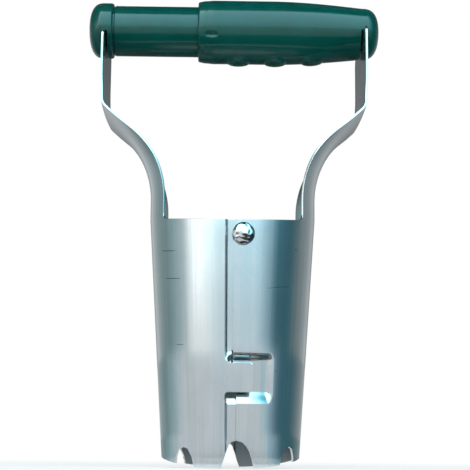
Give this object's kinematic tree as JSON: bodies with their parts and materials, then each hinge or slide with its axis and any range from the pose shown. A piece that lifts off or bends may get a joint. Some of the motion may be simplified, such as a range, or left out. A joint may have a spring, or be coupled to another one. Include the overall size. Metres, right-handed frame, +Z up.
{
  "type": "seedling transplanter",
  "caption": "Hand bulb planter: a tapered steel tube with a toothed edge, split lengthwise and riveted, on bowed arms; squeezing the telescoping sprung handle opens it.",
  "frame": {"origin": "on the tube's axis at the height of the four lowest tooth tips, which is the middle of the base", "axes": "+Z up the tube to the handle, X along the handle with the grip's end at +X, the seam with the front rivet faces -Y"},
  "size_m": [0.145, 0.0858, 0.2313],
  "materials": {
    "galvanised_steel": "cold-rolled, zinc-bright, lightly scratched",
    "rivet_steel": "bright plated dome",
    "green_plastic": "glossy dark green, moulded",
    "seat_plastic": "matt black, moulded",
    "spring_wire": "drawn wire"
  },
  "bodies": {
    "right_half": {"right_half_shell": "galvanised_steel", "front_rivet": "rivet_steel", "rear_rivet": "rivet_steel"},
    "left_half": {"left_half_shell": "galvanised_steel"},
    "grip": {"outer_grip_sleeve": "green_plastic", "right_spring_seat": "seat_plastic", "return_spring": "spring_wire"},
    "sleeve": {"inner_handle_sleeve": "green_plastic", "left_spring_seat": "seat_plastic"}
  },
  "joints": [
    {"name": "release_hinge", "type": "hinge", "parent": "right_half", "child": "left_half", "pos_m": [0, 0, 0.1061], "axis": [-0.1149, 0.9934, 0], "range_deg": [0, 9], "stiffness_Nm_per_rad": 2, "springref_deg": -8.59},
    {"name": "grip_rock", "type": "hinge", "parent": "right_half", "child": "grip", "pos_m": [0.064, 0, 0.208], "axis": [-0.1149, 0.9934, 0], "range_deg": [0, 4.6]},
    {"name": "sleeve_slide", "type": "slide", "parent": "grip", "child": "sleeve", "axis": [1, 0, 0], "range_m": [0, 0.0165], "deforming": ["return_spring"]}
  ],
  "couplings": [
    {"joint": "grip_rock", "follows": "release_hinge", "ratio": 0.5},
    {"joint": "sleeve_slide", "follows": "release_hinge", "m_per_rad": 0.1031}
  ]
}
